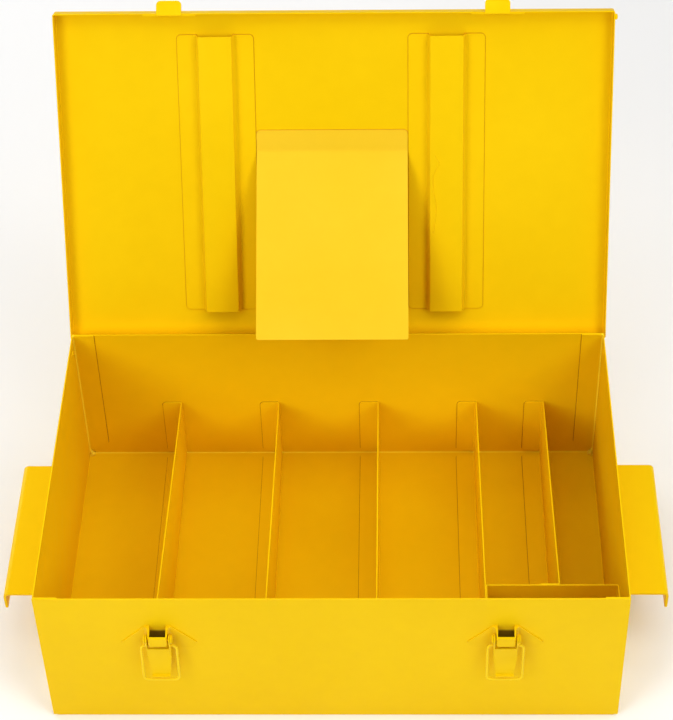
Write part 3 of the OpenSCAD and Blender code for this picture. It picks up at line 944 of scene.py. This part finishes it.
# the run's own radius, that of the drop at its end, the distance of its lumps and its grain
RUN_RADIUS = 0.62 * MM
RUN_DROP = 0.85 * MM
RUN_STEP = 1.1 * MM
RUN_GRAIN = 0.22 * MM


class TOOLCASE_OT_paint_run(bpy.types.Operator):
    """Lay the run of thick enamel on the right lid channel"""

    bl_idname = "toolcase.paint_run"
    bl_label = "Paint run"
    bl_options = {"REGISTER", "UNDO"}

    def execute(self, context):
        low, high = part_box("lid_channel_right")
        middle = (low[0] + high[0]) / 2 / MM
        points = [on_open_lid(middle + across, out, RUN_HEIGHT) for across, out in RUN_WAY]
        lumps = []
        for a, b in zip(points, points[1:]):
            steps = max(2, int((b - a).length / RUN_STEP))
            lumps += [blob(a.lerp(b, i / steps), RUN_RADIUS) for i in range(steps)]
        lumps.append(blob(points[-1], RUN_DROP))
        run = melt(lumps, "paint_run", RUN_GRAIN, passes=2)
        finish_piece(run, body_of_node("lid_channel_right"), INSIDE)
        return {"FINISHED"}


# the burr at the lid's front right corner, in mm: how far it is beyond the lid's side, how far its ends are
# in front of the hinge line and how far they are over it when the lid is shut
BURR_BEYOND = 1.0
BURR_FRONT, BURR_REAR = 348.6, 345.4
BURR_HEIGHT = 1.1

# the burr's radius at its ends, how much it swells between them, its number of lumps and its grain
BURR_RADIUS = 1.5 * MM
BURR_SWELL = 0.25 * MM
BURR_LUMPS = 5
BURR_GRAIN = 0.3 * MM


class TOOLCASE_OT_lid_burr(bpy.types.Operator):
    """Set the small burr on the lid's front right corner"""

    bl_idname = "toolcase.lid_burr"
    bl_label = "Lid burr"
    bl_options = {"REGISTER", "UNDO"}

    def execute(self, context):
        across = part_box("lid_pan")[1][0] / MM + BURR_BEYOND
        front = on_open_lid(across, BURR_FRONT, BURR_HEIGHT)
        rear = on_open_lid(across, BURR_REAR, BURR_HEIGHT)
        lumps = []
        for i in range(BURR_LUMPS):
            share = i / (BURR_LUMPS - 1)
            radius = BURR_RADIUS + BURR_SWELL * math.sin(share * math.pi)
            lumps.append(blob(front.lerp(rear, share), radius))
        finish_piece(melt(lumps, "lid_burr", BURR_GRAIN), body_of_node("lid_pan"), CASE)
        return {"FINISHED"}


class TOOLCASE_OT_hinge(bpy.types.Operator):
    """Soften the long hinge's leaves and pin"""

    bl_idname = "toolcase.hinge"
    bl_label = "Hinge"
    bl_options = {"REGISTER", "UNDO"}

    def execute(self, context):
        for node, slot in (("hinge_body_leaf", CASE), ("hinge_lid_leaf", CASE), ("hinge_pin", FITTINGS)):
            soft_node(node, slot, HINGE_ROUND)
        return {"FINISHED"}


class TOOLCASE_OT_latches(bpy.types.Operator):
    """Soften the brackets, pins, levers and wire bails of both latches"""

    bl_idname = "toolcase.latches"
    bl_label = "Latches"
    bl_options = {"REGISTER", "UNDO"}

    def execute(self, context):
        for side in ("left", "right"):
            for part in ("base", "pin", "lever", "bail"):
                # the wire bails take their enamel with a painted highlight
                wire = "wire_enamel_painted_highlight" if part == "bail" else None
                soft_node(f"latch_{part}_{side}", FITTINGS, LATCH_ROUND, material=wire)
        return {"FINISHED"}


# every softbox: angle round the case from the camera's side, angle above the floor, width, height, watts
SOFTBOXES = {
    "softbox_front_left": (-45, 35, 1.3, 1.3, 21.9),
    "softbox_high_left": (-60, 60, 1.3, 1.3, 8.5),
    "softbox_low_left": (-38, 21, 1.1, 0.8, 12.3),
    "softbox_front_middle": (-15, 35, 1.3, 1.3, 4.4),
    "softbox_front_right": (45, 35, 1.3, 1.3, 24.6),
    "softbox_high_right": (60, 60, 1.3, 1.3, 16.2),
    "softbox_side_right": (105, 23, 1.3, 2.2, 17.6),
    "softbox_rear_right": (120, 60, 1.3, 1.3, 8.6),
    "softbox_rear_high": (180, 60, 1.3, 1.3, 11.7),
    "softbox_rear_left": (-120, 60, 1.3, 1.3, 10.7),
    "softbox_side_left": (-135, 12, 1.3, 1.3, 33.5),
    "softbox_overhead": (0, 84, 1.3, 1.3, 12.5),
}
LIGHT_AIM = Vector((0, 0.05, 0.15))

# the floor lies a little below the case, so that the two never share a plane
FLOOR_GAP = 0.2 * MM


def softbox(name, turn, height, size_x, size_y, power):
    """One rectangular soft light that faces the case."""
    studio = bpy.context.scene.toolcase_studio
    turn, height = math.radians(turn), math.radians(height)
    level = math.cos(height)
    back = Vector((math.sin(turn) * level, -math.cos(turn) * level, math.sin(height)))
    bpy.ops.object.light_add(type="AREA", location=LIGHT_AIM + back * studio.light_distance)
    light = bpy.context.object
    light.name = light.data.name = name
    light.data.shape = "RECTANGLE"
    light.data.size, light.data.size_y = size_x, size_y
    light.data.energy = power * studio.light_scale
    light.rotation_euler = (-back).to_track_quat("-Z", "Y").to_euler()


class TOOLCASE_OT_studio(bpy.types.Operator):
    """Set the pale floor, the soft lights and the camera"""

    bl_idname = "toolcase.studio"
    bl_label = "Studio"
    bl_options = {"REGISTER", "UNDO"}

    def execute(self, context):
        scene = context.scene
        studio = scene.toolcase_studio
        bpy.ops.object.select_all(action="DESELECT")
        under_case = (0, 0, CAD_BOX[0][2] - FLOOR_GAP)
        bpy.ops.mesh.primitive_plane_add(size=studio.floor_size, location=under_case)
        floor = bpy.context.object
        floor.name = floor.data.name = "studio_floor"
        floor.data.materials.append(floor_material())

        for name, values in SOFTBOXES.items():
            softbox(name, *values)

        world = bpy.data.worlds.new("studio_sky")
        world.use_nodes = True
        sky = world.node_tree.nodes["Background"]
        sky.inputs["Color"].default_value = (1, 1, 1, 1)
        sky.inputs["Strength"].default_value = studio.sky
        scene.world = world
        scene.view_settings.view_transform = "Standard"

        camera_data = bpy.data.cameras.new("studio_camera")
        camera = bpy.data.objects.new("studio_camera", camera_data)
        scene.collection.objects.link(camera)
        camera.location = studio.camera_place
        camera.rotation_euler = studio.camera_turn
        camera_data.lens = studio.lens
        camera_data.sensor_width = 36
        camera_data.shift_x, camera_data.shift_y = studio.shift_x, studio.shift_y
        camera_data.clip_start, camera_data.clip_end = 0.05, 50
        scene.camera = camera
        return {"FINISHED"}


class TOOLCASE_PT_panel(bpy.types.Panel):
    """Lists the tool case's operators and values"""

    bl_idname = "TOOLCASE_PT_panel"
    bl_label = "Tool Case"
    bl_space_type = "VIEW_3D"
    bl_region_type = "UI"
    bl_category = "Tool Case"

    def draw(self, context):
        layout = self.layout
        for group_name, group in GROUPS.items():
            box = layout.box()
            for name in group.__annotations__:
                box.prop(getattr(context.scene, group_name), name)
        for operator in OPERATORS:
            layout.operator(operator.bl_idname)


OPERATORS = (
    TOOLCASE_OT_finishes,
    TOOLCASE_OT_tub,
    TOOLCASE_OT_corner_welds,
    TOOLCASE_OT_seams,
    TOOLCASE_OT_dividers,
    TOOLCASE_OT_handles,
    TOOLCASE_OT_lid,
    TOOLCASE_OT_paint_run,
    TOOLCASE_OT_lid_burr,
    TOOLCASE_OT_hinge,
    TOOLCASE_OT_latches,
    TOOLCASE_OT_studio,
)
GROUPS = {
    "toolcase_sizes": ToolCaseSizes,
    "toolcase_colours": ToolCaseColours,
    "toolcase_studio": ToolCaseStudio,
}


def register():
    """Register the values, the operators and the panel."""
    for name, group in GROUPS.items():
        bpy.utils.register_class(group)
        setattr(bpy.types.Scene, name, PointerProperty(type=group))
    for operator in OPERATORS:
        bpy.utils.register_class(operator)
    bpy.utils.register_class(TOOLCASE_PT_panel)


def unregister():
    """Take back what register did, in the other order."""
    bpy.utils.unregister_class(TOOLCASE_PT_panel)
    for operator in reversed(OPERATORS):
        bpy.utils.unregister_class(operator)
    for name, group in reversed(GROUPS.items()):
        delattr(bpy.types.Scene, name)
        bpy.utils.unregister_class(group)


def main():
    """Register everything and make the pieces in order."""
    register()
    make = bpy.ops.toolcase
    make.finishes()
    make.tub()
    make.corner_welds()
    make.seams()
    make.dividers()
    make.handles()
    make.lid()
    make.paint_run()
    make.lid_burr()
    make.hinge()
    make.latches()
    make.studio()
    bpy.context.view_layer.update()


if __name__ == "__main__":
    main()
